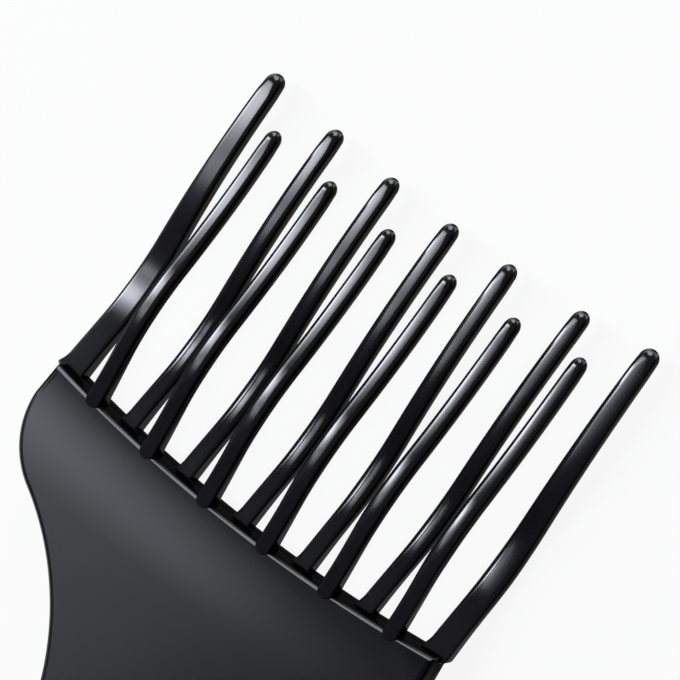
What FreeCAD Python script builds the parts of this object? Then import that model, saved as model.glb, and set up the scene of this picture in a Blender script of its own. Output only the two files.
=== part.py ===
import FreeCAD, Part
import math
import os
import Sketcher
from FreeCAD import Placement, Rotation, Vector

# Hair pick lying on its back: X runs across the head, Y towards the tine tips, Z up out of the front face.
# Two rows of bowed tines are clamped by their tangs between the front and rear shells of the handle.
# Every tine and shell is drawn outwards from the seam plane; those of the rear row are turned over.

SIZES = {
    # Tines, lengths in millimetres and angles in degrees
    "tine_pitch": 12.55,  # spacing of the tines in a row
    "end_spacing": 13.6,  # from the last inner tine of the rear row to the end tine
    "tine_width": 3.55,  # width of a tine at its root
    "front_tip_flat": 0.25,  # what the rounded edges leave flat at the tip
    "rear_tip_flat": 0.55,
    "end_tine_width": 5.0,  # the two outermost tines are wider
    "end_tip_flat": 0.95,
    "tine_depth": 3.2,  # front to back
    "front_length": 53.6,  # from the land to the tip
    "rear_length": 59.7,
    "rise_run": 9.8,  # straight stretch that leans outwards from the root
    "rise_angle": 16.5,
    "bow_radius": 32.3,  # curve that brings the tine back
    "fall_angle": 13.1,
    "sweep_radius": 98.0,  # reverse curve that straightens the upper half
    "edge_round": 1.2,  # rounding of a tine's long edges and tip
    "root_blend": 5.0,  # curve from the upright foot into the leaning blade
    "foot_drop": 0.9,  # how deep the foot is let into the land
    "lug_step": 0.76,  # how far the foot stands out of the blade, to the shell's face
    "tang_width": 2.2,
    "tang_length": 9.0,
    "anchor_width": 4.4,  # cross bar at the end of the tang
    "anchor_height": 2.4,
    # Handle
    "side_step": 0.75,  # how far the end tines stand past the side of the head
    "land_radius": 268.0,  # hollow curve of the edge that the tines stand on
    "land_step": 0.6,  # how far the rear shell's land stands above the front shell's
    "side_drop": 2.7,  # straight side of the head, below the middle of the land
    "shoulder_radius": 15.5,
    "waist_radius": 48.0,
    "stem_width": 16.5,
    "end_radius": 10.5,
    "handle_length": 118.0,  # from the middle of the land to the end of the grip
    "shell_wall": 1.8,
    "front_rim_round": 0.9,  # rounded edge of the front face
    "rear_rim_round": 0.5,
    "hang_hole_radius": 3.0,
    "hang_boss_wall": 2.2,
    "peg_radius": 1.5,  # pegs of the front shell that locate the rear shell
    "peg_reach": 2.2,
    "peg_spread": 26.0,
    "peg_setback": 6.5,
    "socket_wall": 1.5,
    # Fits
    "fit_gap": 0.1,  # between a foot or tang and its seat, and between a peg and its socket
    "overrun": 2.0,  # how far a cut runs past what it cuts
}
STEM_PEG_SHARES = (0.45, 0.70)  # of the handle's length, from the land
FRONT_COUNT = 6
REAR_COUNT = 7
# Sideways lean of each tine's tip, as a share of the tine's width
FRONT_LEAN_SHARES = (0.0, 0.0, 0.0, 0.0, 0.0, -0.05)
REAR_LEAN_SHARES = (0.0, 0.05, 0.0, 0.0, -0.23, 0.2, -0.09)
FLANK_TILT = 10  # a face that turns less than this from a tine's side is a flank

# Points of a sketch edge, as the sketcher counts them
START, END, CENTRE = range(1, 4)

doc = FreeCAD.newDocument("hair_pick")
sheet = doc.addObject("Spreadsheet::Sheet", "Sizes")
for row, (alias, number) in enumerate(SIZES.items(), start=1):
    sheet.set(f"A{row}", alias)
    sheet.set(f"B{row}", str(number))
    sheet.setAlias(f"B{row}", alias)
doc.recompute()

# Sizes that follow from the sheet, as expressions over it
RISE_TAN = "tan(Sizes.rise_angle * 1 deg)"
RISE_SIN = "sin(Sizes.rise_angle * 1 deg)"
RISE_COS = "cos(Sizes.rise_angle * 1 deg)"
FALL_SIN = "sin(Sizes.fall_angle * 1 deg)"
HALF_DEPTH = "Sizes.tine_depth / 2"
ROOT_OFFSET = f"({HALF_DEPTH} / {RISE_COS} + Sizes.foot_drop * {RISE_TAN} + Sizes.fit_gap)"
SHELL_DEPTH = f"(Sizes.tine_depth / {RISE_COS} + Sizes.fit_gap + Sizes.lug_step)"
HOLLOW_DEPTH = f"({SHELL_DEPTH} - Sizes.shell_wall)"
BOW_X = f"(Sizes.rise_run + Sizes.bow_radius * {RISE_SIN})"
BOW_Y = f"({ROOT_OFFSET} + Sizes.rise_run * {RISE_TAN} - Sizes.bow_radius * {RISE_COS})"
SWEEP_X = f"({BOW_X} + (Sizes.bow_radius + Sizes.sweep_radius) * {FALL_SIN})"
SEAM_HEIGHT = f"({BOW_Y} + Sizes.bow_radius + {HALF_DEPTH})"
END_X = "(2 * Sizes.tine_pitch + Sizes.end_spacing)"
HEAD_HALF = f"({END_X} + Sizes.end_tine_width / 2 - Sizes.side_step)"
WAIST_X = "(Sizes.stem_width / 2 + Sizes.waist_radius)"
WAIST_RUN = f"({WAIST_X} - {HEAD_HALF} + Sizes.shoulder_radius)"
WAIST_Y = (
    "(-Sizes.side_drop - sqrt((Sizes.shoulder_radius + Sizes.waist_radius)^2"
    f" - {WAIST_RUN}^2))"
)
RAIL_BOTTOM = "(-Sizes.side_drop - Sizes.shoulder_radius)"
GRIP_END_Y = "(Sizes.end_radius - Sizes.handle_length)"
END_TANG_SHIFT = "(Sizes.end_tine_width - Sizes.tang_width) / 2"
FRONT_TIP = "(2 * Sizes.edge_round + Sizes.front_tip_flat)"
REAR_TIP = "(2 * Sizes.edge_round + Sizes.rear_tip_flat)"
END_TIP = "(2 * Sizes.edge_round + Sizes.end_tip_flat)"


def land_height(x):
    """Expression for the height of the hollow land above its middle, at a distance x from the middle."""
    return f"(Sizes.land_radius - sqrt(Sizes.land_radius^2 - ({x})^2))"


LAND_Y = f"((Sizes.handle_length - Sizes.rear_length - {land_height(END_X)}) / 2)"


def measure(expression):
    """Value of an expression over the size sheet."""
    result = sheet.evalExpression(expression)
    return getattr(result, "Value", result)


class Drawing:
    """A sketch on an origin plane of its body, whose dimensions follow the size sheet."""

    def __init__(self, body, plane, name):
        self.sketch = body.newObject("Sketcher::SketchObject", name)
        support = next(item for item in body.Origin.OriginFeatures if item.Role == plane)
        self.sketch.AttachmentSupport = [(support, "")]
        self.sketch.MapMode = "FlatFace"

    def line(self, start, end):
        return self.sketch.addGeometry(Part.LineSegment(Vector(*start, 0), Vector(*end, 0)))

    def arc(self, centre, radius, start, end):
        """Arc that runs anticlockwise between two angles in degrees."""
        circle = Part.Circle(Vector(*centre, 0), Vector(0, 0, 1), radius)
        return self.sketch.addGeometry(Part.ArcOfCircle(circle, math.radians(start), math.radians(end)))

    def relate(self, kind, *places):
        self.sketch.addConstraint(Sketcher.Constraint(kind, *places))

    def size(self, kind, *places, by):
        """A dimension bound to an expression."""
        number = measure(by)
        if kind == "Angle":
            number = math.radians(number)
        index = self.sketch.addConstraint(Sketcher.Constraint(kind, *places, number))
        self.sketch.setExpression(f"Constraints[{index}]", by)

    def place(self, edge, point, x, y):
        self.size("DistanceX", edge, point, by=x)
        self.size("DistanceY", edge, point, by=y)

    def polygon(self, corners):
        """Closed outline through corners given as pairs of expressions."""
        spots = [(measure(x), measure(y)) for x, y in corners]
        edges = [self.line(spot, following) for spot, following in zip(spots, spots[1:] + spots[:1])]
        for edge, following in zip(edges, edges[1:] + edges[:1]):
            self.relate("Coincident", edge, END, following, START)
        for edge, (x, y) in zip(edges, corners):
            self.place(edge, START, x, y)

    def circle(self, x, y, radius):
        spot = Vector(measure(x), measure(y), 0)
        edge = self.sketch.addGeometry(Part.Circle(spot, Vector(0, 0, 1), measure(radius)))
        self.place(edge, CENTRE, x, y)
        self.size("Radius", edge, by=radius)


def pad(body, drawing, name, length, second_length=None, symmetric=False):
    feature = body.newObject("PartDesign::Pad", name)
    feature.Profile = drawing.sketch
    feature.setExpression("Length", length)
    if symmetric:
        feature.SideType = "Symmetric"
    if second_length:
        feature.SideType = "Two sides"
        feature.setExpression("Length2", second_length)
    doc.recompute()
    return feature


def pocket(body, drawing, name, depth=None, both_ways=False):
    """Cut that runs outwards from the seam plane, to a depth or right through."""
    feature = body.newObject("PartDesign::Pocket", name)
    feature.Profile = drawing.sketch
    feature.Reversed = True
    if depth:
        feature.setExpression("Length", depth)
    else:
        feature.Type = "ThroughAll"
    if both_ways:
        feature.SideType = "Symmetric"
    before = body.Shape.Volume
    doc.recompute()
    if feature.Shape.Volume >= before:
        raise RuntimeError(f"{name} cuts nothing")
    return feature


def fillet(body, base, name, edges, radius):
    feature = body.newObject("PartDesign::Fillet", name)
    feature.Base = (base, edges)
    feature.setExpression("Radius", radius)
    doc.recompute()
    return feature


def settle(body, x, y, turned_over):
    """Put a body at its place on the handle, turned over about its length for the rear row."""
    turn = Rotation(Vector(0, 1, 0), 180 if turned_over else 0)
    body.Placement = Placement(Vector(measure(x), measure(y), measure(SEAM_HEIGHT)), turn)
    for axis, expression in zip("xyz", (x, y, SEAM_HEIGHT)):
        body.setExpression(f"Placement.Base.{axis}", expression)


def tang_corners(x, y, hook, grow, top):
    """Outline of a tang with its anchor bar: a T, or an L whose bar points the way of hook."""
    shift = f"{x} + {hook} * {END_TANG_SHIFT}"
    bar_top = f"{y} - Sizes.foot_drop - Sizes.tang_length + Sizes.anchor_height + {grow}"
    bottom = f"{y} - Sizes.foot_drop - Sizes.tang_length - {grow}"
    corners = []
    for side in (1, -1):
        stem = f"{shift} + {side} * (Sizes.tang_width / 2 + {grow})"
        bar = f"{shift} + {side} * (Sizes.anchor_width / 2 + {grow})"
        if side == hook:
            bar = f"{shift} + {side} * (Sizes.anchor_width - Sizes.tang_width / 2 + {grow})"
        edge = [(stem, top), (stem, bar_top), (bar, bar_top), (bar, bottom)]
        if side == -hook:
            edge = [(stem, top), (stem, bottom)]
        corners += edge if side == 1 else edge[::-1]
    return corners


def draw_tine_side(drawing, length):
    """Side view of a tine: upright foot, leaning rise, bow, reverse sweep and round tip."""
    half = measure(HALF_DEPTH)
    rise, fall = measure("Sizes.rise_angle"), measure("Sizes.fall_angle")
    bow_radius, sweep_radius = measure("Sizes.bow_radius"), measure("Sizes.sweep_radius")
    bow = (measure(BOW_X), measure(BOW_Y))
    reach = bow_radius + sweep_radius
    sweep = (measure(SWEEP_X), bow[1] + reach * math.cos(math.radians(fall)))
    foot, face, blend = -measure("Sizes.foot_drop"), measure(SHELL_DEPTH), measure("Sizes.root_blend")
    rise_tan = math.tan(math.radians(rise))
    outer_root = measure(f"{ROOT_OFFSET} + {HALF_DEPTH} / {RISE_COS}")
    inner_root = measure(f"{ROOT_OFFSET} - {HALF_DEPTH} / {RISE_COS}")
    blend_start = (face - outer_root) / rise_tan - blend * math.tan(math.radians(rise) / 2)
    tip_x = measure(f"{length} - {HALF_DEPTH}")

    def around(centre, radius, angle):
        turn = math.radians(angle)
        return (centre[0] + radius * math.cos(turn), centre[1] + radius * math.sin(turn))

    tip = math.degrees(math.asin((tip_x - sweep[0]) / sweep_radius))
    tip_centre = around(sweep, sweep_radius, 270 + tip)
    blend_centre = (blend_start, face + blend)
    bottom = drawing.line((foot, inner_root + foot * rise_tan), (foot, face))
    upright = drawing.line((foot, face), (blend_start, face))
    blend_arc = drawing.arc(blend_centre, blend, 270, 270 + rise)
    outer_bow, outer_sweep = bow_radius + half, sweep_radius - half
    inner_bow, inner_sweep = bow_radius - half, sweep_radius + half
    rise_out = drawing.line(around(blend_centre, blend, 270 + rise), around(bow, outer_bow, 90 + rise))
    bow_out = drawing.arc(bow, outer_bow, 90 - fall, 90 + rise)
    sweep_out = drawing.arc(sweep, outer_sweep, 270 - fall, 270 + tip)
    round_tip = drawing.arc(tip_centre, half, tip - 90, tip + 90)
    sweep_in = drawing.arc(sweep, inner_sweep, 270 - fall, 270 + tip)
    bow_in = drawing.arc(bow, inner_bow, 90 - fall, 90 + rise)
    rise_in = drawing.line(around(bow, inner_bow, 90 + rise), (foot, inner_root + foot * rise_tan))

    smooth_joints = (
        (upright, END, blend_arc, START),
        (blend_arc, END, rise_out, START),
        (rise_out, END, bow_out, END),
        (bow_out, START, sweep_out, START),
        (sweep_out, END, round_tip, END),
        (round_tip, START, sweep_in, END),
        (sweep_in, START, bow_in, START),
        (bow_in, END, rise_in, START),
    )
    for joint in smooth_joints:
        drawing.relate("Tangent", *joint)
    drawing.relate("Coincident", bottom, END, upright, START)
    drawing.relate("Coincident", rise_in, END, bottom, START)
    drawing.relate("Coincident", bow_in, CENTRE, bow_out, CENTRE)
    drawing.relate("Coincident", sweep_in, CENTRE, sweep_out, CENTRE)
    drawing.relate("Vertical", bottom)
    drawing.relate("Horizontal", upright)
    drawing.relate("Parallel", rise_in, rise_out)
    drawing.place(upright, START, "-Sizes.foot_drop", SHELL_DEPTH)
    drawing.size("Radius", blend_arc, by="Sizes.root_blend")
    drawing.size("Angle", rise_out, by="Sizes.rise_angle * 1 deg")
    drawing.place(bow_out, CENTRE, BOW_X, BOW_Y)
    drawing.size("Radius", bow_out, by=f"Sizes.bow_radius + {HALF_DEPTH}")
    drawing.size("Radius", bow_in, by=f"Sizes.bow_radius - {HALF_DEPTH}")
    drawing.size("DistanceX", sweep_out, CENTRE, by=SWEEP_X)
    drawing.size("Radius", sweep_out, by=f"Sizes.sweep_radius - {HALF_DEPTH}")
    drawing.size("DistanceX", round_tip, CENTRE, by=f"{length} - {HALF_DEPTH}")


def is_long_edge(blade, edge):
    """Whether an edge bounds a flank of the blade anywhere but on the underside of the foot."""
    faces = blade.Shape.ancestorsOfType(edge, Part.Face)
    flanks = [face for face in faces if abs(face.normalAt(0, 0).x) > math.cos(math.radians(FLANK_TILT))]
    return bool(flanks) and edge.BoundBox.YMax > -measure("Sizes.foot_drop") / 2


def tine(label, x, width, tip_width, length, lean, hook, turned_over):
    """One tine: a bowed blade with rounded edges, its foot, and a tang that the shells clamp."""
    body = doc.addObject("PartDesign::Body", label)
    body.Label = label
    side = Drawing(body, "YZ_Plane", f"{label}_side")
    draw_tine_side(side, length)
    pad(body, side, f"{label}_blade", f"{width} + Sizes.overrun", symmetric=True)

    flanks = Drawing(body, "XY_Plane", f"{label}_flanks")
    low, high = "-Sizes.foot_drop - Sizes.overrun", f"{length} + Sizes.overrun"
    far = f"({width} / 2 + 2 * Sizes.overrun)"
    for way in (1, -1):
        taper = f"({lean} + {way} * ({tip_width} - {width}) / 2) / ({length})"
        corners = [(f"{way} * {width} / 2 + {taper} * ({y})", y) for y in (low, high)]
        flanks.polygon(corners + [(f"{way} * {far}", high), (f"{way} * {far}", low)])
    trimmed = pocket(body, flanks, f"{label}_taper", both_ways=True)

    names = [f"Edge{n}" for n, edge in enumerate(trimmed.Shape.Edges, 1) if is_long_edge(trimmed, edge)]
    fillet(body, trimmed, f"{label}_rounding", names, "Sizes.edge_round")

    tang = Drawing(body, "XY_Plane", f"{label}_tang_outline")
    tang.polygon(tang_corners("0", "0", hook, "0", "-Sizes.foot_drop"))
    pad(body, tang, f"{label}_tang", f"{HOLLOW_DEPTH} - Sizes.fit_gap")
    settle(body, x, f"{LAND_Y} + {land_height(x)}", turned_over)
    return body


def draw_handle(drawing, land_lift):
    """Outline of the handle: hollow land, sides, shoulders, waist, widening grip and round end."""
    shoulder, waist = measure("Sizes.shoulder_radius"), measure("Sizes.waist_radius")
    land, drop, end = (measure(f"Sizes.{name}") for name in ("land_radius", "side_drop", "end_radius"))
    half = measure(HEAD_HALF)
    waist_x, waist_y, end_y = measure(WAIST_X), measure(WAIST_Y), measure(GRIP_END_Y)
    shoulder_x = half - shoulder
    swing = math.degrees(math.atan2(-drop - waist_y, waist_x - shoulder_x))
    corner = math.degrees(math.asin(half / land))
    flare = grip_flare(waist_x, waist_y, waist, end, end_y)
    land_y = land + measure(land_lift)
    corner_y = land_y - land * math.cos(math.radians(corner))
    land_arc = drawing.arc((0, land_y), land, 270 - corner, 270 + corner)
    end_arc = drawing.arc((0, end_y), end, 180 - flare, 360 + flare)
    drawing.place(land_arc, CENTRE, "0", f"Sizes.land_radius + {land_lift}")
    drawing.size("Radius", land_arc, by="Sizes.land_radius")
    drawing.place(end_arc, CENTRE, "0", GRIP_END_Y)
    drawing.size("Radius", end_arc, by="Sizes.end_radius")
    for way in (1, -1):
        right = way == 1
        side = drawing.line((way * half, corner_y), (way * half, -drop))
        turns = (-swing, 0) if right else (180, 180 + swing)
        shoulder_arc = drawing.arc((way * shoulder_x, -drop), shoulder, *turns)
        turns = (180 - swing, 180 + flare) if right else (-flare, swing)
        waist_arc = drawing.arc((way * waist_x, waist_y), waist, *turns)
        grip = drawing.line(*grip_ends(way, waist_x, waist_y, waist, end, end_y, flare))
        first, last = (END, START) if right else (START, END)
        drawing.relate("Coincident", land_arc, first, side, START)
        drawing.relate("Tangent", side, END, shoulder_arc, first)
        drawing.relate("Tangent", shoulder_arc, last, waist_arc, last)
        drawing.relate("Tangent", waist_arc, first, grip, START)
        drawing.relate("Tangent", grip, END, end_arc, first)
        drawing.relate("Vertical", side)
        drawing.size("DistanceX", side, START, by=f"{way} * {HEAD_HALF}")
        drawing.size("Radius", shoulder_arc, by="Sizes.shoulder_radius")
        drawing.size("DistanceY", shoulder_arc, CENTRE, by="-Sizes.side_drop")
        drawing.size("Radius", waist_arc, by="Sizes.waist_radius")
        drawing.size("DistanceX", waist_arc, CENTRE, by=f"{way} * {WAIST_X}")


def grip_flare(waist_x, waist_y, waist, end, end_y):
    """Angle, in degrees, by which the sides of the grip widen between the waist and the round end."""
    along, across = waist_y - end_y, waist_x
    return math.degrees(math.asin((waist + end) / math.hypot(along, across)) - math.atan2(across, along))


def grip_ends(way, waist_x, waist_y, waist, end, end_y, flare):
    """Ends of one straight side of the grip, where it leaves the waist and where it meets the end."""
    turn = math.radians(flare)
    top = (way * (waist_x - waist * math.cos(turn)), waist_y - waist * math.sin(turn))
    low = (way * end * math.cos(turn), end_y + end * math.sin(turn))
    return top, low


def draw_hollow(drawing):
    """Outline of the hollow inside a shell, a wall in from the handle's outline and below the tangs."""
    waist_size, end_size = "Sizes.waist_radius + Sizes.shell_wall", "Sizes.end_radius - Sizes.shell_wall"
    waist, end = measure(waist_size), measure(end_size)
    waist_x, waist_y, end_y, top = (measure(text) for text in (WAIST_X, WAIST_Y, GRIP_END_Y, RAIL_BOTTOM))
    flare = grip_flare(waist_x, waist_y, waist, end, end_y)
    rise = math.degrees(math.asin((top - waist_y) / waist))
    corner_x = waist_x - waist * math.cos(math.radians(rise))
    top_line = drawing.line((-corner_x, top), (corner_x, top))
    end_arc = drawing.arc((0, end_y), end, 180 - flare, 360 + flare)
    drawing.relate("Horizontal", top_line)
    drawing.size("DistanceY", top_line, START, by=RAIL_BOTTOM)
    drawing.place(end_arc, CENTRE, "0", GRIP_END_Y)
    drawing.size("Radius", end_arc, by=end_size)
    for way in (1, -1):
        right = way == 1
        turns = (180 - rise, 180 + flare) if right else (-flare, rise)
        waist_arc = drawing.arc((way * waist_x, waist_y), waist, *turns)
        grip = drawing.line(*grip_ends(way, waist_x, waist_y, waist, end, end_y, flare))
        first, last = (END, START) if right else (START, END)
        drawing.relate("Coincident", top_line, first, waist_arc, last)
        drawing.relate("Tangent", waist_arc, first, grip, START)
        drawing.relate("Tangent", grip, END, end_arc, first)
        drawing.size("Radius", waist_arc, by=waist_size)
        drawing.place(waist_arc, CENTRE, f"{way} * {WAIST_X}", WAIST_Y)


def peg_places():
    """Places of the locating pegs: two side by side in the head and the rest down the grip."""
    head_y = f"{RAIL_BOTTOM} - Sizes.peg_setback"
    head = [(f"{way} * Sizes.peg_spread / 2", head_y) for way in (1, -1)]
    return head + [("0", f"-{share} * Sizes.handle_length") for share in STEM_PEG_SHARES]


def shell(label, stations, turned_over):
    """One half of the handle, hollow, with a seat and a slot for each tine of its row and the hang hole."""
    body = doc.addObject("PartDesign::Body", label)
    body.Label = label
    outline = Drawing(body, "XY_Plane", f"{label}_outline")
    draw_handle(outline, "Sizes.land_step" if turned_over else "0")
    block = pad(body, outline, f"{label}_block", SHELL_DEPTH)
    face_height = measure(SHELL_DEPTH) / 2
    rim = [f"Edge{n}" for n, edge in enumerate(block.Shape.Edges, 1) if edge.BoundBox.ZMin > face_height]
    rim_round = "Sizes.rear_rim_round" if turned_over else "Sizes.front_rim_round"
    fillet(body, block, f"{label}_rim", rim, rim_round)

    hollow = Drawing(body, "XY_Plane", f"{label}_hollow_outline")
    draw_hollow(hollow)
    pocket(body, hollow, f"{label}_hollow", HOLLOW_DEPTH)

    seats = Drawing(body, "XY_Plane", f"{label}_seat_outlines")
    slots = Drawing(body, "XY_Plane", f"{label}_slot_outlines")
    for x, width, hook in stations:
        land = land_height(x)
        floor, top = f"{land} - Sizes.foot_drop", f"{land} + Sizes.land_step + Sizes.overrun"
        left, right = (f"{x} + {way} * ({width} / 2 + Sizes.fit_gap)" for way in (-1, 1))
        seats.polygon([(left, floor), (right, floor), (right, top), (left, top)])
        slots.polygon(tang_corners(x, land, hook, "Sizes.fit_gap", land))
    pocket(body, seats, f"{label}_seats")
    pocket(body, slots, f"{label}_slots", HOLLOW_DEPTH)

    into_wall = f"{SHELL_DEPTH} - Sizes.shell_wall / 2"
    bosses = Drawing(body, "XY_Plane", f"{label}_boss_outlines")
    bosses.circle("0", GRIP_END_Y, "Sizes.hang_hole_radius + Sizes.hang_boss_wall")
    if turned_over:
        for x, y in peg_places():
            bosses.circle(x, y, "Sizes.peg_radius + Sizes.fit_gap + Sizes.socket_wall")
    pad(body, bosses, f"{label}_bosses", into_wall)

    pegs = Drawing(body, "XY_Plane", f"{label}_peg_outlines")
    grow = "Sizes.fit_gap" if turned_over else "0"
    for x, y in peg_places():
        pegs.circle(x, y, f"Sizes.peg_radius + {grow}")
    if turned_over:
        pocket(body, pegs, f"{label}_sockets", "Sizes.peg_reach + Sizes.fit_gap")
    else:
        pad(body, pegs, f"{label}_pegs", into_wall, "Sizes.peg_reach")

    hole = Drawing(body, "XY_Plane", f"{label}_hole_outline")
    hole.circle("0", GRIP_END_Y, "Sizes.hang_hole_radius")
    pocket(body, hole, f"{label}_hang_hole")
    settle(body, "0", LAND_Y, turned_over)
    return body


front_places = [f"({i - (FRONT_COUNT - 1) / 2} * Sizes.tine_pitch)" for i in range(FRONT_COUNT)]
rear_inner = [f"({i - (REAR_COUNT - 1) // 2} * Sizes.tine_pitch)" for i in range(1, REAR_COUNT - 1)]
rear_places = [f"(-{END_X})", *rear_inner, END_X]

front_stations = [(x, "Sizes.tine_width", 0) for x in front_places]
rear_stations = [(x, "Sizes.tine_width", 0) for x in rear_places]
rear_stations[0] = (rear_places[0], "Sizes.end_tine_width", 1)
rear_stations[-1] = (rear_places[-1], "Sizes.end_tine_width", -1)

pieces = [shell("front_shell", front_stations, False), shell("rear_shell", rear_stations, True)]
for index, (x, width, hook) in enumerate(front_stations):
    label, lean = f"front_tine_{index + 1}", f"{FRONT_LEAN_SHARES[index]} * Sizes.tine_width"
    pieces.append(tine(label, x, width, FRONT_TIP, "Sizes.front_length", lean, hook, False))
for index, (x, width, hook) in enumerate(rear_stations):
    label, lean = f"rear_tine_{index + 1}", f"{-REAR_LEAN_SHARES[index]} * Sizes.tine_width"
    tip = END_TIP if hook else REAR_TIP
    pieces.append(tine(label, x, width, tip, "Sizes.rear_length", lean, -hook, True))
doc.recompute()

for item in doc.Objects:
    if {"Invalid", "Error"} & set(item.State):
        raise RuntimeError(f"{item.Name} failed: {item.State}")
os.makedirs("parts", exist_ok=True)
for piece in pieces:
    if piece.Shape.isNull() or not piece.Shape.isValid() or len(piece.Shape.Solids) != 1:
        raise RuntimeError(f"{piece.Label} is not one sound solid")
for piece in pieces:
    piece.Shape.exportStep(f"parts/{piece.Label}.step")
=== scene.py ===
import math

import bmesh
import bpy
from bpy.props import FloatProperty, FloatVectorProperty, PointerProperty
from mathutils import Matrix, Vector
from mathutils.geometry import tessellate_polygon


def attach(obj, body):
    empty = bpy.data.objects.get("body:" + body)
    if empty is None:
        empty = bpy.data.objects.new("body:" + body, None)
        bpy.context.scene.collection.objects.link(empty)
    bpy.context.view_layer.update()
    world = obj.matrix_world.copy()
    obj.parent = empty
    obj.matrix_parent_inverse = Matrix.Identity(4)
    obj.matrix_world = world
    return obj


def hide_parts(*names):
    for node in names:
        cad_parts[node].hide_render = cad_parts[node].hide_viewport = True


bl_info = {
    "name": "Two-Row Hair Pick",
    "version": (1, 0, 0),
    "blender": (4, 5, 0),
    "location": "3D View > Sidebar > Hair Pick",
    "description": "Builds a moulded two-row hair pick over its packed CAD parts",
    "category": "Add Mesh",
}

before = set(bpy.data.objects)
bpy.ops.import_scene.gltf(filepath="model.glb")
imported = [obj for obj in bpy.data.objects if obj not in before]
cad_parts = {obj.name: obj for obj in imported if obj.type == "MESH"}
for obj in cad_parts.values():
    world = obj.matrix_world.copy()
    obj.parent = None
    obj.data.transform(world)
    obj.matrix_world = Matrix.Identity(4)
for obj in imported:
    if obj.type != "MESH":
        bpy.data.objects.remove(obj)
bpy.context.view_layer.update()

MM = 0.001
FRONT_COUNT = 6
REAR_COUNT = 7


# Settings

class PickTineSettings(bpy.types.PropertyGroup):
    pitch: FloatProperty(
        name="Pitch", description="Spacing of the tines in a row",
        default=0.01255, min=0.005, unit="LENGTH")
    end_spacing: FloatProperty(
        name="End Spacing", description="From the last inner tine of the rear row to the end tine",
        default=0.0136, min=0.005, unit="LENGTH")
    width: FloatProperty(
        name="Width", description="Width of a tine at its root, before the neck is taken off",
        default=0.00355, min=0.001, unit="LENGTH")
    front_neck: FloatProperty(
        name="Front Neck", description="How much narrower a front tine is at its root",
        default=0.0007, min=0.0, unit="LENGTH")
    rear_neck: FloatProperty(
        name="Rear Neck", description="How much narrower a rear tine is at its root",
        default=0.0005, min=0.0, unit="LENGTH")
    end_width: FloatProperty(
        name="End Tine Width", description="Width of an end tine at its root, before the neck is taken off",
        default=0.005, min=0.001, unit="LENGTH")
    front_tip: FloatProperty(
        name="Front Tip", description="Width of a front tine just below its tip",
        default=0.0026, min=0.001, unit="LENGTH")
    rear_tip: FloatProperty(
        name="Rear Tip", description="Width of a rear tine just below its tip",
        default=0.0029, min=0.001, unit="LENGTH")
    end_tip: FloatProperty(
        name="End Tip", description="Width of an end tine just below its tip",
        default=0.0033, min=0.001, unit="LENGTH")
    depth: FloatProperty(
        name="Depth", description="Thickness of a tine, front to back",
        default=0.0032, min=0.001, unit="LENGTH")
    front_length: FloatProperty(
        name="Front Length", description="From the land to the tip in the front row",
        default=0.0536, min=0.01, unit="LENGTH")
    rear_length: FloatProperty(
        name="Rear Length", description="From the land to the tip in the rear row",
        default=0.0597, min=0.01, unit="LENGTH")
    rise_angle: FloatProperty(
        name="Rise Angle", description="Outward lean of a tine at its root",
        default=math.radians(16.5), min=0.01, subtype="ANGLE")
    fall_angle: FloatProperty(
        name="Fall Angle", description="Inward lean of a tine at the end of its bow",
        default=math.radians(13.1), min=0.01, subtype="ANGLE")
    root_flare: FloatProperty(
        name="Root Flare", description="How far a tine widens at its root",
        default=0.0008, min=0.0, unit="LENGTH")
    root_edge: FloatProperty(
        name="Root Edge", description="Rounding of a tine's edges at the root",
        default=0.0005, min=0.0001, unit="LENGTH")
    edge: FloatProperty(
        name="Edge", description="Rounding of a tine's edges above the root",
        default=0.00095, min=0.0001, unit="LENGTH")


class PickHandleSettings(bpy.types.PropertyGroup):
    land_radius: FloatProperty(
        name="Land Radius", description="Hollow curve of the edge that the tines stand on",
        default=0.268, min=0.05, unit="LENGTH")
    land_rise: FloatProperty(
        name="Land Rise", description="How much higher the land is at the rear face than at the front face",
        default=0.0003, min=0.0, unit="LENGTH")
    stem_width: FloatProperty(
        name="Stem Width", description="Narrowest width of the grip",
        default=0.0165, min=0.005, unit="LENGTH")
    top_round: FloatProperty(
        name="Top Edge Round", description="Rounding of the front face along the land",
        default=0.0014, min=0.0001, unit="LENGTH")
    side_round: FloatProperty(
        name="Side Edge Round", description="Rounding of the front face along its sides",
        default=0.0011, min=0.0001, unit="LENGTH")
    rear_round: FloatProperty(
        name="Rear Edge Round", description="Rounding of the rear face",
        default=0.0005, min=0.0001, unit="LENGTH")
    hang_hole: FloatProperty(
        name="Hang Hole", description="Radius of the hole in the end of the grip",
        default=0.003, min=0.0005, unit="LENGTH")


class PickFinishSettings(bpy.types.PropertyGroup):
    handle_colour: FloatVectorProperty(
        name="Handle Colour", description="Colour of the satin plastic of the handle",
        default=(0.006, 0.006, 0.007), size=3, min=0.0, max=1.0, subtype="COLOR")
    tine_colour: FloatVectorProperty(
        name="Tine Colour", description="Colour of the gloss plastic of the tines",
        default=(0.008, 0.008, 0.009), size=3, min=0.0, max=1.0, subtype="COLOR")
    floor_colour: FloatVectorProperty(
        name="Floor Colour", description="Colour of the table that the pick lies on",
        default=(0.9, 0.9, 0.9), size=3, min=0.0, max=1.0, subtype="COLOR")


# Places in the frame

SEAM = 7.868325 * MM
SHELL = 4.197437 * MM
LAND_Y = 27.745541 * MM
HOLE_Y = -79.754459 * MM
LAND_LIFT = 0.35 * MM
FOOT = 0.9 * MM

# Sizes of the tines, with heights above the land

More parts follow.
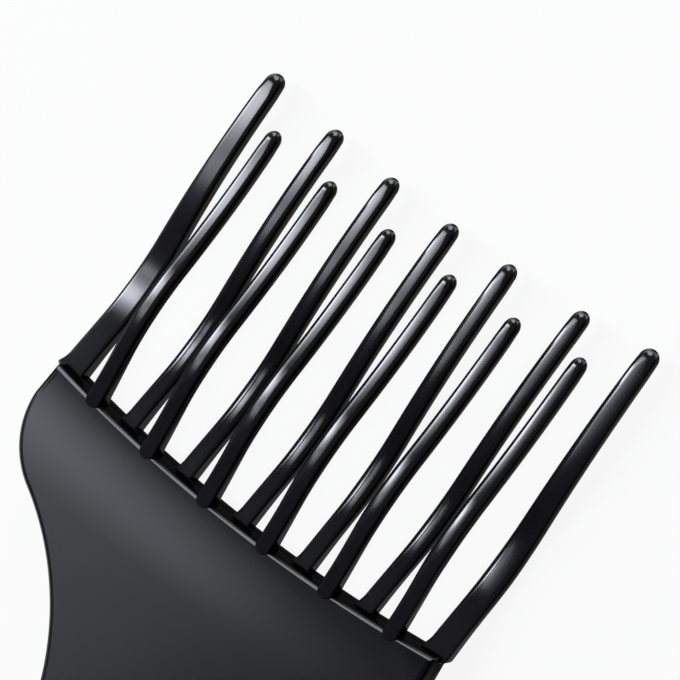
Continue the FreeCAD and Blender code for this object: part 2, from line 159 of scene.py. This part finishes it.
TINE_RUN = 9.8 * MM
BOW_RADIUS = 32.3 * MM
SWEEP_RADIUS = 98.0 * MM
SEAM_CLEARANCE = 0.1 * MM
FOOT_RISE = 0.08 * MM
LAP_RUN = 11 * MM
LAP_POWER = 1.3
NECK_FADE = (3 * MM, 17 * MM)
NECK_SHIFT_SHARE = 1 / 3
EDGE_FADE = (1 * MM, 14 * MM)
BOW_ROUND = 0.35 * MM
BOW_ROUND_RISE = (3 * MM, 14 * MM)
BOW_ROUND_END_SHARES = (0.45, 0.85)
FLARE_RUN = 2.4 * MM
FRONT_FLARE_SHARE = 0.5
TIP_RUN = 1.75 * MM
TIP_CLOSING = (4.5 * MM, 0.6 * MM)
FRONT_LEAN_SHARES = (0.0, 0.0, 0.0, 0.0, 0.0, -0.05)
REAR_LEAN_SHARES = (0.0, 0.05, 0.0, 0.0, -0.23, 0.2, -0.09)

# Fineness of the tines' meshes

ROOT_STEP = 0.1 * MM
ROOT_STEPS = 36
RING_STEP = 0.5 * MM
TIP_STEPS = 14
CORNER_POINTS = 13
ROUND_LIMIT_SHARE = 0.999
THIN_SHARE = 0.02

# Sizes of the handle

HEAD_HALF = 40.45 * MM
HEAD_TAPER = 0.55 * MM
SIDE_DROP = 2.7 * MM
CORNER_RADIUS = 0.3 * MM
SHOULDER_RADIUS = 15.5 * MM
WAIST_RADIUS = 48.0 * MM
END_RADIUS = 10.5 * MM
RIM_START = math.radians(32.0)
WALL_RING = 2.6 * MM
SEAM_BREAK = 0.03 * MM
HOLE_LIP = 0.6 * MM

# Fineness of the handle's meshes

LAND_POINTS = 300
CORNER_STEP = 0.06 * MM
SHOULDER_STEP = 0.5 * MM
WAIST_STEP = 0.8 * MM
END_STEP = 0.4 * MM
RIM_STEPS = 10
HOLE_POINTS = 72
LIP_STEPS = 6
LAND_MARGIN = 1 * MM
LAND_FACING = 0.5
SAME_PLACE = 1e-6
WELD = 1e-7

# Finish of the plastics

GRAIN_DETAIL = 3.0
CLOUD_SCALE = 90.0
CLOUD_DETAIL = 4.0
CLOUD_SPAN = (0.3, 0.7)
CLOUD_TINT = (0.8, 1.25)
FLANK_WEIGHT = 1.4
MATT_SPAN = (0.74, 0.94)
MATT_POLISH = 0.02
FACE_SPAN = (0.05, 0.4)
FACE_POLISH = 0.6
FLANK_SHEEN = 0.13
# Share of the colour left on the matt sides and ends: painted shade
PAINTED_SHADE_LEVEL = 0.25
BUMP_STRENGTH = 0.5
BAND_RUN = (-3 * MM, 11.5 * MM)
BAND_RIM_SPAN = (0.1, 0.4)

# Studio

TABLE_HALF = 4.0
TABLE_ROUGHNESS = 0.9
TABLE_WHITE_SHARE = 0.9
STUDIO_GREY = 0.05
LAMP_DISTANCE = 1.2
LAMP_AIM = (0.0, 0.03, 0.008)
LAMP_COLOUR = (0.88, 0.90, 1.0)
CAMERA_PLACE = (0.1405254, 0.1393746, 0.5227901)
CAMERA_TURN = (2.45628, 17.48878, 36.3801)
CAMERA_LENS = 177.947
CAMERA_SENSOR = 36.0
CAMERA_NEAR = 0.01


# Shared helpers

def land_curve(x):
    """Height of the hollow land above its middle, at a distance x from the middle."""
    radius = bpy.context.scene.pick_handle.land_radius
    return radius - math.sqrt(radius * radius - x * x)


def smooth(edge, far, value):
    """Share from 0 at edge to 1 at far, with soft ends."""
    share = min(1.0, max(0.0, (value - edge) / (far - edge)))
    return share * share * (3 - 2 * share)


def add_bands(bm, rings):
    """Join each closed ring of points to the next with a band of faces."""
    for ring, following in zip(rings, rings[1:]):
        for i in range(len(ring)):
            j = (i + 1) % len(ring)
            bm.faces.new((ring[i], ring[j], following[j], following[i]))


def mesh_from(bm, name):
    """Finish a mesh with its faces turned outwards."""
    bmesh.ops.recalc_face_normals(bm, faces=bm.faces)
    mesh = bpy.data.meshes.new(name)
    bm.to_mesh(mesh)
    bm.free()
    return mesh


def add_piece(name, mesh, node, material):
    """Shade a mesh smooth and set it in place of its CAD node."""
    for face in mesh.polygons:
        face.use_smooth = True
    mesh.materials.append(material)
    piece = bpy.data.objects.new(name, mesh)
    bpy.context.scene.collection.objects.link(piece)
    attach(piece, "root")
    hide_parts(node)


# Tines

class TineLine:
    """Inner and outer side of a tine, as distances from the seam plane along its height."""

    def __init__(self):
        tines = bpy.context.scene.pick_tines
        rise, fall = tines.rise_angle, tines.fall_angle
        reach = BOW_RADIUS + SWEEP_RADIUS
        self.half = tines.depth / 2
        self.slope = math.tan(rise)
        self.root = self.half / math.cos(rise) + FOOT * self.slope + SEAM_CLEARANCE
        self.lap = SHELL + FOOT_RISE - self.root - self.half / math.cos(rise) + FOOT * self.slope
        self.bow_at = (TINE_RUN + BOW_RADIUS * math.sin(rise),
                       self.root + TINE_RUN * self.slope - BOW_RADIUS * math.cos(rise))
        self.bow_end = self.bow_at[0] + BOW_RADIUS * math.sin(fall)
        self.sweep_at = (self.bow_at[0] + reach * math.sin(fall),
                         self.bow_at[1] + reach * math.cos(fall))

    def middle(self, s):
        """Distance of the middle line and its slope."""
        if s < TINE_RUN:
            return self.root + s * self.slope, self.slope
        if s < self.bow_end:
            off = s - self.bow_at[0]
            drop = math.sqrt(BOW_RADIUS ** 2 - off ** 2)
            return self.bow_at[1] + drop, -off / drop
        off = s - self.sweep_at[0]
        drop = math.sqrt(SWEEP_RADIUS ** 2 - off ** 2)
        return self.sweep_at[1] - drop, off / drop

    def sides(self, s):
        """Inner and outer side, with the foot that stands out to the handle's face."""
        middle, slope = self.middle(s)
        reach = self.half * math.sqrt(1 + slope * slope)
        lap = self.lap * max(0.0, 1 - (s + FOOT) / LAP_RUN) ** LAP_POWER
        return middle - reach, middle + reach + lap


def ring_of(half_width, half_depth, rounding):
    """Rounded rectangle about the origin, as (x, y) points, evenly turned around its corners."""
    rounding = min(rounding, ROUND_LIMIT_SHARE * half_width, ROUND_LIMIT_SHARE * half_depth)
    flat_x, flat_y = half_width - rounding, half_depth - rounding
    points = []
    for corner in range(4):
        centre_x = flat_x * (1, -1, -1, 1)[corner]
        centre_y = flat_y * (1, 1, -1, -1)[corner]
        for step in range(CORNER_POINTS):
            turn = math.pi / 2 * (corner + step / (CORNER_POINTS - 1))
            points.append((centre_x + rounding * math.cos(turn), centre_y + rounding * math.sin(turn)))
    return points


def tine_heights(length):
    """Heights of a tine's rings, close together at the foot and at the tip."""
    tip_start = length - TIP_RUN
    heights = [-FOOT + ROOT_STEP * i for i in range(ROOT_STEPS)]
    while heights[-1] < tip_start - RING_STEP:
        heights.append(heights[-1] + RING_STEP)
    heights = [s for s in heights if s < tip_start]
    for i in range(TIP_STEPS + 1):
        heights.append(length - TIP_RUN * (1 - math.sin(math.pi / 2 * i / TIP_STEPS)))
    return heights


def tine_mesh(name, x, lean, width, tip_width, length, way, neck, flare, bow_round):
    """Loft a bowed tine with a flared foot and a round tip. A way of 1 is the front row and -1 the rear row,
    where a tine flares on its left side only."""
    tines = bpy.context.scene.pick_tines
    line = TineLine()
    base_y = LAND_Y + land_curve(x)
    bow_fade = [share * length for share in BOW_ROUND_END_SHARES]
    closing = [length - below for below in TIP_CLOSING]
    bm = bmesh.new()
    rings = []
    for s in tine_heights(length):
        share = max(0.0, s) / length
        near_root = 1 - smooth(*NECK_FADE, s)
        half_width = (width + (tip_width - width) * share) / 2 - neck / 2 * near_root
        inner, outer = line.sides(s)
        half_depth, middle = (outer - inner) / 2, (outer + inner) / 2
        rounding = tines.root_edge + (tines.edge - tines.root_edge) * smooth(*EDGE_FADE, s)
        rounding += bow_round * smooth(*BOW_ROUND_RISE, s) * (1 - smooth(*bow_fade, s))
        rounding += (min(half_width, half_depth) - rounding) * smooth(*closing, s)
        if s > length - TIP_RUN:
            shrink = math.sqrt(max(0.0, 1 - ((s - length + TIP_RUN) / TIP_RUN) ** 2))
            shrink = max(THIN_SHARE, shrink)
            half_width *= shrink
            half_depth *= shrink
            rounding *= shrink
        foot_share = 1.0
        if s < LAND_LIFT:
            below = (LAND_LIFT - s) / (LAND_LIFT + FOOT)
            foot_share = max(THIN_SHARE, math.sqrt(max(0.0, 1 - below ** 2)))
        widen = flare * max(0.0, 1 - max(0.0, s) / FLARE_RUN) ** 2 * foot_share
        centre_x = x + lean * share + way * neck * NECK_SHIFT_SHARE * near_root
        ring = []
        for px, py in ring_of(half_width * foot_share, half_depth, rounding * foot_share):
            if way > 0 or px < 0:
                inward = ((1 - py / half_depth) / 2) ** 2
                px += math.copysign(widen * inward, px)
            ring.append(bm.verts.new((centre_x + px, base_y + s, SEAM + way * (middle + py))))
        rings.append(ring)
    add_bands(bm, rings)
    bm.faces.new(rings[0])
    bm.faces.new(rings[-1])
    return mesh_from(bm, name)


def front_places():
    """Places of the front tines across the head."""
    tines = bpy.context.scene.pick_tines
    return [(i - (FRONT_COUNT - 1) / 2) * tines.pitch for i in range(FRONT_COUNT)]


def rear_places():
    """Places of the rear tines across the head, with the end tines set further out."""
    tines = bpy.context.scene.pick_tines
    inner = [(i - (REAR_COUNT - 1) // 2) * tines.pitch for i in range(1, REAR_COUNT - 1)]
    end = inner[-1] + tines.end_spacing
    return [-end, *inner, end]


# Handle halves

def on_land(y, ny):
    """Whether a point of the outline is on the edge that the tines stand on."""
    return ny > LAND_FACING and y > LAND_Y - LAND_MARGIN


def handle_outline():
    """Points around the handle with their outward directions, clockwise from the middle of the land."""
    handle = bpy.context.scene.pick_handle
    radius, land_y = handle.land_radius, LAND_Y + LAND_LIFT
    side_y = LAND_Y - SIDE_DROP
    shoulder_x = HEAD_HALF - SHOULDER_RADIUS
    waist_x = handle.stem_width / 2 + WAIST_RADIUS
    waist_y = side_y - math.sqrt((SHOULDER_RADIUS + WAIST_RADIUS) ** 2 - (waist_x - shoulder_x) ** 2)
    swing = math.atan2(side_y - waist_y, waist_x - shoulder_x)
    flare = math.asin((WAIST_RADIUS + END_RADIUS) / math.hypot(waist_y - HOLE_Y, waist_x))
    flare -= math.atan2(waist_x, waist_y - HOLE_Y)
    side = []

    def arc(x, y, radius, start, stop, step, outward=1):
        count = max(2, round(abs(stop - start) * radius / step))
        for i in range(count + 1):
            turn = start + (stop - start) * i / count
            side.append((x + radius * math.cos(turn), y + radius * math.sin(turn),
                         outward * math.cos(turn), outward * math.sin(turn)))

    corner_x = HEAD_HALF - HEAD_TAPER - CORNER_RADIUS
    land_turn = math.asin(corner_x / (radius + CORNER_RADIUS))
    corner_y = land_y + radius - (radius + CORNER_RADIUS) * math.cos(land_turn)
    for i in range(LAND_POINTS):
        turn = land_turn * i / LAND_POINTS
        side.append((radius * math.sin(turn), land_y + radius * (1 - math.cos(turn)),
                     -math.sin(turn), math.cos(turn)))
    arc(corner_x, corner_y, CORNER_RADIUS, math.pi / 2 + land_turn, 0.0, CORNER_STEP)
    arc(shoulder_x, side_y, SHOULDER_RADIUS, 0.0, -swing, SHOULDER_STEP)
    arc(waist_x, waist_y, WAIST_RADIUS, math.pi - swing, math.pi + flare, WAIST_STEP, -1)
    arc(0.0, HOLE_Y, END_RADIUS, flare, -math.pi / 2, END_STEP)
    left = [(-x, y, -nx, ny) for x, y, nx, ny in side[1:-1]]
    points = side + left[::-1]
    kept = [points[0]]
    for point in points[1:]:
        if math.hypot(point[0] - kept[-1][0], point[1] - kept[-1][1]) > SAME_PLACE:
            kept.append(point)
    return kept


def half_mesh(name, way, top_round, side_round):
    """Build one half of the handle from its face to the seam, with a rounded rim and the hang hole.
    A way of 1 is the front half, whose rim meets the face in a crease along the land; -1 is the rear half.
    """
    handle = bpy.context.scene.pick_handle
    outline = handle_outline()
    bm = bmesh.new()

    def ring(turn, edge=0.0, draw_in=0.0):
        """Outline at a share of the rim's rounding, or at a depth below the face and drawn in by a length."""
        made = []
        for x, y, nx, ny in outline:
            size, start = side_round, 0.0
            if on_land(y, ny):
                size, start = top_round, RIM_START if way > 0 else 0.0
            at = start + (math.pi / 2 - start) * turn
            inset = 1 - math.sin(at) + draw_in / size
            depth = size * (math.cos(start) - math.cos(at)) if edge == 0.0 else edge
            px, py = x - nx * size * inset, y - ny * size * inset
            if y > LAND_Y - LAND_MARGIN:
                limit = HEAD_HALF - HEAD_TAPER * min(1.0, (y - LAND_Y + SIDE_DROP) / (2 * SIDE_DROP))
                limit -= side_round * inset
                px = max(-limit, min(limit, px))
                behind = depth if way > 0 else 2 * SHELL - depth
                py = min(py, LAND_Y + LAND_LIFT + land_curve(px) - top_round * inset)
                py += handle.land_rise * behind / (2 * SHELL) * max(0.0, ny)
            made.append(bm.verts.new((px, py, SEAM + way * (SHELL - depth))))
        return made

    rings = [ring(i / RIM_STEPS) for i in range(RIM_STEPS + 1)]
    rings += [ring(1.0, edge) for edge in (WALL_RING, SHELL - SEAM_BREAK)]
    rings.append(ring(1.0, SHELL, SEAM_BREAK))
    add_bands(bm, rings)
    for i, (_, y, _, ny) in enumerate(outline):
        crease = bm.edges.get((rings[0][i], rings[0][(i + 1) % len(outline)]))
        crease.smooth = way < 0 or not on_land(y, ny)

    hole = []
    lip_turns = [math.pi / 2 * i / LIP_STEPS for i in range(LIP_STEPS + 1)]
    profile = [(HOLE_LIP * (1 - math.sin(t)), HOLE_LIP * (1 - math.cos(t))) for t in lip_turns]
    for grow, down in (*profile, (0.0, SHELL)):
        radius = handle.hang_hole + grow
        loop = []
        for i in range(HOLE_POINTS):
            turn = 2 * math.pi * i / HOLE_POINTS
            loop.append(bm.verts.new((radius * math.cos(turn), HOLE_Y + radius * math.sin(turn),
                                      SEAM + way * (SHELL - down))))
        hole.append(loop)
    add_bands(bm, hole)
    for outer, inner in ((rings[0], hole[0]), (rings[-1], hole[-1])):
        loops = outer + inner
        for triangle in tessellate_polygon([[v.co for v in outer], [v.co for v in inner]]):
            corners = [loops[i] for i in triangle]
            if bm.faces.get(corners) is None:
                bm.faces.new(corners)
    bmesh.ops.remove_doubles(bm, verts=bm.verts, dist=WELD)
    bmesh.ops.dissolve_degenerate(bm, edges=bm.edges, dist=WELD)
    return mesh_from(bm, name)


# Finishes

def add_math(tree, operation, *values):
    """Add a Math node fed by sockets or plain numbers, and give its result."""
    node = tree.nodes.new("ShaderNodeMath")
    node.operation = operation
    for socket, value in zip(node.inputs, values):
        if isinstance(value, bpy.types.NodeSocket):
            tree.links.new(value, socket)
        else:
            socket.default_value = value
    return node.outputs["Value"]


def add_range(tree, value, source, target, kind="LINEAR"):
    """Add a Map Range node from a source span to a target span, and give its result."""
    node = tree.nodes.new("ShaderNodeMapRange")
    node.interpolation_type = kind
    node.inputs["From Min"].default_value, node.inputs["From Max"].default_value = source
    node.inputs["To Min"].default_value, node.inputs["To Max"].default_value = target
    tree.links.new(value, node.inputs["Value"])
    return node.outputs["Result"]


def moulded_group():
    """Node group for moulded plastic: fine grain, soft flow clouding, less polish on sides and ends, and
    painted shade that darkens the colour on the sides and ends.
    """
    found = bpy.data.node_groups.get("Moulded Plastic")
    if found:
        return found
    group = bpy.data.node_groups.new("Moulded Plastic", "ShaderNodeTree")
    group.interface.new_socket(name="Colour", in_out="INPUT", socket_type="NodeSocketColor")
    for label in ("Smoothness", "Spread", "Grain Scale"):
        group.interface.new_socket(name=label, in_out="INPUT", socket_type="NodeSocketFloat")
    group.interface.new_socket(name="Colour", in_out="OUTPUT", socket_type="NodeSocketColor")
    for label in ("Roughness", "Grain", "Polish"):
        group.interface.new_socket(name=label, in_out="OUTPUT", socket_type="NodeSocketFloat")
    nodes, links = group.nodes, group.links
    enter, leave = nodes.new("NodeGroupInput"), nodes.new("NodeGroupOutput")
    place = nodes.new("ShaderNodeTexCoord")

    grain = nodes.new("ShaderNodeTexNoise")
    grain.inputs["Detail"].default_value = GRAIN_DETAIL
    links.new(place.outputs["Object"], grain.inputs["Vector"])
    links.new(enter.outputs["Grain Scale"], grain.inputs["Scale"])
    links.new(grain.outputs["Fac"], leave.inputs["Grain"])
    cloud = nodes.new("ShaderNodeTexNoise")
    cloud.inputs["Scale"].default_value = CLOUD_SCALE
    cloud.inputs["Detail"].default_value = CLOUD_DETAIL
    links.new(place.outputs["Object"], cloud.inputs["Vector"])
    both = add_math(group, "ADD", cloud.outputs["Fac"], grain.outputs["Fac"])
    centred = add_math(group, "SUBTRACT", both, 1.0)
    rough = add_math(group, "MULTIPLY_ADD", centred, enter.outputs["Spread"], enter.outputs["Smoothness"])
    links.new(rough, leave.inputs["Roughness"])

    facing = nodes.new("ShaderNodeSeparateXYZ")
    links.new(place.outputs["Normal"], facing.inputs["Vector"])
    sideways = add_math(group, "ABSOLUTE", facing.outputs["X"])
    flank = add_math(group, "MULTIPLY", sideways, FLANK_WEIGHT)
    edgewise = add_math(group, "MAXIMUM", facing.outputs["Y"], flank)
    shown = add_range(group, edgewise, MATT_SPAN, (1.0, MATT_POLISH), "SMOOTHSTEP")
    rounds = add_range(group, edgewise, FACE_SPAN, (FACE_POLISH, 1.0))
    gloss = add_math(group, "MULTIPLY", shown, rounds)
    sheen = add_math(group, "MULTIPLY", sideways, FLANK_SHEEN)
    links.new(add_math(group, "MAXIMUM", gloss, sheen), leave.inputs["Polish"])

    lighten = add_range(group, cloud.outputs["Fac"], CLOUD_SPAN, CLOUD_TINT)
    # Painted shade: the colour is darkened on the sides and ends, where the coat is matt
    painted_shade = add_math(group, "MULTIPLY_ADD", shown, 1 - PAINTED_SHADE_LEVEL, PAINTED_SHADE_LEVEL)
    tint = nodes.new("ShaderNodeVectorMath")
    tint.operation = "SCALE"
    links.new(enter.outputs["Colour"], tint.inputs[0])
    links.new(add_math(group, "MULTIPLY", lighten, painted_shade), tint.inputs["Scale"])
    links.new(tint.outputs["Vector"], leave.inputs["Colour"])
    return group


def land_band_group():
    """Node group for the handle's face: duller in a band along the land, with the rim left bright."""
    radius = bpy.context.scene.pick_handle.land_radius
    group = bpy.data.node_groups.new("Land Band", "ShaderNodeTree")
    group.interface.new_socket(name="Band", in_out="OUTPUT", socket_type="NodeSocketFloat")
    nodes, links = group.nodes, group.links
    leave = nodes.new("NodeGroupOutput")
    place = nodes.new("ShaderNodeTexCoord")
    level = nodes.new("ShaderNodeVectorMath")
    level.operation = "MULTIPLY"
    level.inputs[1].default_value = (1.0, 1.0, 0.0)
    links.new(place.outputs["Object"], level.inputs[0])
    reach = nodes.new("ShaderNodeVectorMath")
    reach.operation = "DISTANCE"
    reach.inputs[1].default_value = (0.0, LAND_Y + LAND_LIFT + radius, 0.0)
    links.new(level.outputs["Vector"], reach.inputs[0])
    facing = nodes.new("ShaderNodeSeparateXYZ")
    links.new(place.outputs["Normal"], facing.inputs["Vector"])
    span = [radius + run for run in BAND_RUN]
    band = add_range(group, reach.outputs["Value"], span, (0.0, 1.0), "SMOOTHSTEP")
    rim = add_range(group, facing.outputs["Y"], BAND_RIM_SPAN, (0.0, 1.0))
    links.new(add_math(group, "MAXIMUM", band, rim), leave.inputs["Band"])
    return group


def plastic(name, colour, smoothness, spread, grain_scale, grain_height, coat_roughness, coat_index):
    """A black moulded plastic with its own grain. Its gloss is a coat that leaves sides and ends matt, and
    its colour there is darkened by painted shade.
    """
    material = bpy.data.materials.new(name)
    material.use_nodes = True
    nodes, links = material.node_tree.nodes, material.node_tree.links
    shader = nodes["Principled BSDF"]
    surface = nodes.new("ShaderNodeGroup")
    surface.name = "Moulded Surface"
    surface.node_tree = moulded_group()
    surface.inputs["Colour"].default_value = (*colour, 1.0)
    surface.inputs["Smoothness"].default_value = smoothness
    surface.inputs["Spread"].default_value = spread
    surface.inputs["Grain Scale"].default_value = grain_scale
    bump = nodes.new("ShaderNodeBump")
    bump.inputs["Strength"].default_value = BUMP_STRENGTH
    bump.inputs["Distance"].default_value = grain_height
    links.new(surface.outputs["Colour"], shader.inputs["Base Color"])
    links.new(surface.outputs["Roughness"], shader.inputs["Roughness"])
    links.new(surface.outputs["Polish"], shader.inputs["Coat Weight"])
    links.new(surface.outputs["Grain"], bump.inputs["Height"])
    links.new(bump.outputs["Normal"], shader.inputs["Normal"])
    shader.inputs["Specular IOR Level"].default_value = 0.0
    shader.inputs["Coat Roughness"].default_value = coat_roughness
    shader.inputs["Coat IOR"].default_value = coat_index
    return material


def handle_plastic():
    """Satin plastic of both handle halves, duller along the land."""
    found = bpy.data.materials.get("Satin Black Plastic")
    if found:
        return found
    satin = plastic("Satin Black Plastic", bpy.context.scene.pick_finish.handle_colour,
                    smoothness=0.6, spread=0.06, grain_scale=5200.0, grain_height=0.012 * MM,
                    coat_roughness=0.23, coat_index=1.75)
    tree = satin.node_tree
    band = tree.nodes.new("ShaderNodeGroup")
    band.node_tree = land_band_group()
    polish = tree.nodes["Moulded Surface"].outputs["Polish"]
    coat = add_math(tree, "MULTIPLY", polish, band.outputs["Band"])
    tree.links.new(coat, tree.nodes["Principled BSDF"].inputs["Coat Weight"])
    return satin


def tine_plastic():
    """Gloss plastic of the tines."""
    found = bpy.data.materials.get("Gloss Black Plastic")
    if found:
        return found
    return plastic("Gloss Black Plastic", bpy.context.scene.pick_finish.tine_colour,
                   smoothness=0.5, spread=0.05, grain_scale=2600.0, grain_height=0.0008 * MM,
                   coat_roughness=0.16, coat_index=1.8)


# Stage

def table_top():
    """White table: seen and mirrored as white, with the object's shadow left in it."""
    material = bpy.data.materials.new("Table Top")
    material.use_nodes = True
    tree = material.node_tree
    nodes, links = tree.nodes, tree.links
    shader = nodes["Principled BSDF"]
    shader.inputs["Base Color"].default_value = (*bpy.context.scene.pick_finish.floor_colour, 1.0)
    shader.inputs["Roughness"].default_value = TABLE_ROUGHNESS
    shader.inputs["Specular IOR Level"].default_value = 0.0
    white = nodes.new("ShaderNodeEmission")
    white.inputs["Strength"].default_value = 1.0
    path = nodes.new("ShaderNodeLightPath")
    seen = add_math(tree, "MAXIMUM", path.outputs["Is Camera Ray"], path.outputs["Is Transmission Ray"])
    shown = add_math(tree, "MAXIMUM", seen, path.outputs["Is Glossy Ray"])
    mix = nodes.new("ShaderNodeMixShader")
    links.new(add_math(tree, "MULTIPLY", shown, TABLE_WHITE_SHARE), mix.inputs[0])
    links.new(shader.outputs["BSDF"], mix.inputs[1])
    links.new(white.outputs["Emission"], mix.inputs[2])
    links.new(mix.outputs["Shader"], nodes["Material Output"].inputs["Surface"])
    return material


def softbox(name, turn, climb, spread, radiance):
    """A rectangular studio lamp around the tines, with its angles in degrees. From straight above, turn
    swings it to the right and climb towards the tips; spread is its half angle each way."""
    turn, climb = math.radians(turn), math.radians(climb)
    back = Vector((math.sin(turn) * math.cos(climb), math.sin(climb), math.cos(turn) * math.cos(climb)))
    along = (Vector((0, 1, 0)) - back * back.y).normalized()
    across = along.cross(back)
    data = bpy.data.lights.new(name, "AREA")
    data.shape = "RECTANGLE"
    data.size, data.size_y = (2 * LAMP_DISTANCE * math.tan(math.radians(angle)) for angle in spread)
    data.color = LAMP_COLOUR
    data.energy = radiance * math.pi * data.size * data.size_y
    lamp = bpy.data.objects.new(name, data)
    turned = Matrix((across, along, back)).transposed().to_4x4()
    lamp.matrix_world = Matrix.Translation(Vector(LAMP_AIM) + LAMP_DISTANCE * back) @ turned
    bpy.context.scene.collection.objects.link(lamp)


# Operators

class MESH_OT_pick_front_half(bpy.types.Operator):
    """Build the front half of the handle"""
    bl_idname = "mesh.pick_front_half"
    bl_label = "Front Half"

    def execute(self, context):
        handle = context.scene.pick_handle
        mesh = half_mesh("front_half", 1, handle.top_round, handle.side_round)
        add_piece("front_half", mesh, "front_shell", handle_plastic())
        return {"FINISHED"}


class MESH_OT_pick_rear_half(bpy.types.Operator):
    """Build the rear half of the handle"""
    bl_idname = "mesh.pick_rear_half"
    bl_label = "Rear Half"

    def execute(self, context):
        handle = context.scene.pick_handle
        mesh = half_mesh("rear_half", -1, handle.rear_round, handle.rear_round)
        add_piece("rear_half", mesh, "rear_shell", handle_plastic())
        return {"FINISHED"}


class MESH_OT_pick_front_tines(bpy.types.Operator):
    """Build the front row of tines"""
    bl_idname = "mesh.pick_front_tines"
    bl_label = "Front Tines"

    def execute(self, context):
        tines = context.scene.pick_tines
        flare = FRONT_FLARE_SHARE * tines.root_flare
        for i, x in enumerate(front_places()):
            name = f"front_row_tine_{i + 1}"
            lean = FRONT_LEAN_SHARES[i] * tines.width
            mesh = tine_mesh(name, x, lean, tines.width, tines.front_tip, tines.front_length, 1,
                             tines.front_neck, flare, BOW_ROUND)
            add_piece(name, mesh, f"front_tine_{i + 1}", tine_plastic())
        return {"FINISHED"}


class MESH_OT_pick_rear_tines(bpy.types.Operator):
    """Build the rear row of tines, with the two wider end tines"""
    bl_idname = "mesh.pick_rear_tines"
    bl_label = "Rear Tines"

    def execute(self, context):
        tines = context.scene.pick_tines
        for i, x in enumerate(rear_places()):
            name = f"rear_row_tine_{i + 1}"
            at_end = i in (0, REAR_COUNT - 1)
            width, tip = (tines.end_width, tines.end_tip) if at_end else (tines.width, tines.rear_tip)
            lean = REAR_LEAN_SHARES[i] * tines.width
            bow_round = 0.0 if i == 0 else BOW_ROUND
            mesh = tine_mesh(name, x, lean, width, tip, tines.rear_length, -1,
                             tines.rear_neck, tines.root_flare, bow_round)
            add_piece(name, mesh, f"rear_tine_{i + 1}", tine_plastic())
        return {"FINISHED"}


class SCENE_OT_pick_stage(bpy.types.Operator):
    """Lay the table, hang the studio lamps and set the camera"""
    bl_idname = "scene.pick_stage"
    bl_label = "Stage"

    def execute(self, context):
        scene = context.scene
        bm = bmesh.new()
        bmesh.ops.create_grid(bm, x_segments=8, y_segments=8, size=TABLE_HALF)
        mesh = bpy.data.meshes.new("table")
        bm.to_mesh(mesh)
        bm.free()
        mesh.materials.append(table_top())
        table = bpy.data.objects.new("table", mesh)
        scene.collection.objects.link(table)

        softbox("key_softbox", turn=-39.5, climb=2.5, spread=(23.0, 5.0), radiance=8.2)
        softbox("key_mantle", turn=-39.0, climb=2.0, spread=(25.5, 9.5), radiance=3.2)
        softbox("key_halo", turn=-39.0, climb=1.0, spread=(28.5, 14.0), radiance=1.8)
        softbox("face_softbox", turn=-22.8, climb=-13.3, spread=(9.5, 3.0), radiance=3.4)
        softbox("rim_softbox", turn=-52.0, climb=67.0, spread=(24.0, 16.0), radiance=3.4)

        world = bpy.data.worlds.new("Studio")
        scene.world = world
        world.use_nodes = True
        background = world.node_tree.nodes["Background"]
        background.inputs["Color"].default_value = (STUDIO_GREY, STUDIO_GREY, STUDIO_GREY, 1.0)

        data = bpy.data.cameras.new("camera")
        data.lens = CAMERA_LENS
        data.sensor_width = CAMERA_SENSOR
        data.clip_start = CAMERA_NEAR
        camera = bpy.data.objects.new("camera", data)
        camera.location = CAMERA_PLACE
        camera.rotation_euler = [math.radians(angle) for angle in CAMERA_TURN]
        scene.collection.objects.link(camera)
        scene.camera = camera
        scene.view_settings.view_transform = "Standard"
        return {"FINISHED"}


class VIEW3D_PT_hair_pick(bpy.types.Panel):
    """Sizes, colours and build steps of the hair pick"""
    bl_idname = "VIEW3D_PT_hair_pick"
    bl_label = "Hair Pick"
    bl_space_type = "VIEW_3D"
    bl_region_type = "UI"
    bl_category = "Hair Pick"

    def draw(self, context):
        for settings in (context.scene.pick_tines, context.scene.pick_handle, context.scene.pick_finish):
            box = self.layout.box()
            for key in settings.__annotations__:
                box.prop(settings, key)
        for step in STEPS:
            self.layout.operator(step.bl_idname)


SETTINGS = (PickTineSettings, PickHandleSettings, PickFinishSettings)
STEPS = (
    MESH_OT_pick_front_half,
    MESH_OT_pick_rear_half,
    MESH_OT_pick_front_tines,
    MESH_OT_pick_rear_tines,
    SCENE_OT_pick_stage,
)
CLASSES = (*SETTINGS, *STEPS, VIEW3D_PT_hair_pick)


def register():
    for item in CLASSES:
        bpy.utils.register_class(item)
    bpy.types.Scene.pick_tines = PointerProperty(type=PickTineSettings)
    bpy.types.Scene.pick_handle = PointerProperty(type=PickHandleSettings)
    bpy.types.Scene.pick_finish = PointerProperty(type=PickFinishSettings)


def unregister():
    del bpy.types.Scene.pick_finish
    del bpy.types.Scene.pick_handle
    del bpy.types.Scene.pick_tines
    for item in reversed(CLASSES):
        bpy.utils.unregister_class(item)


def main():
    register()
    bpy.ops.mesh.pick_front_half()
    bpy.ops.mesh.pick_rear_half()
    bpy.ops.mesh.pick_front_tines()
    bpy.ops.mesh.pick_rear_tines()
    bpy.ops.scene.pick_stage()


if __name__ == "__main__":
    main()
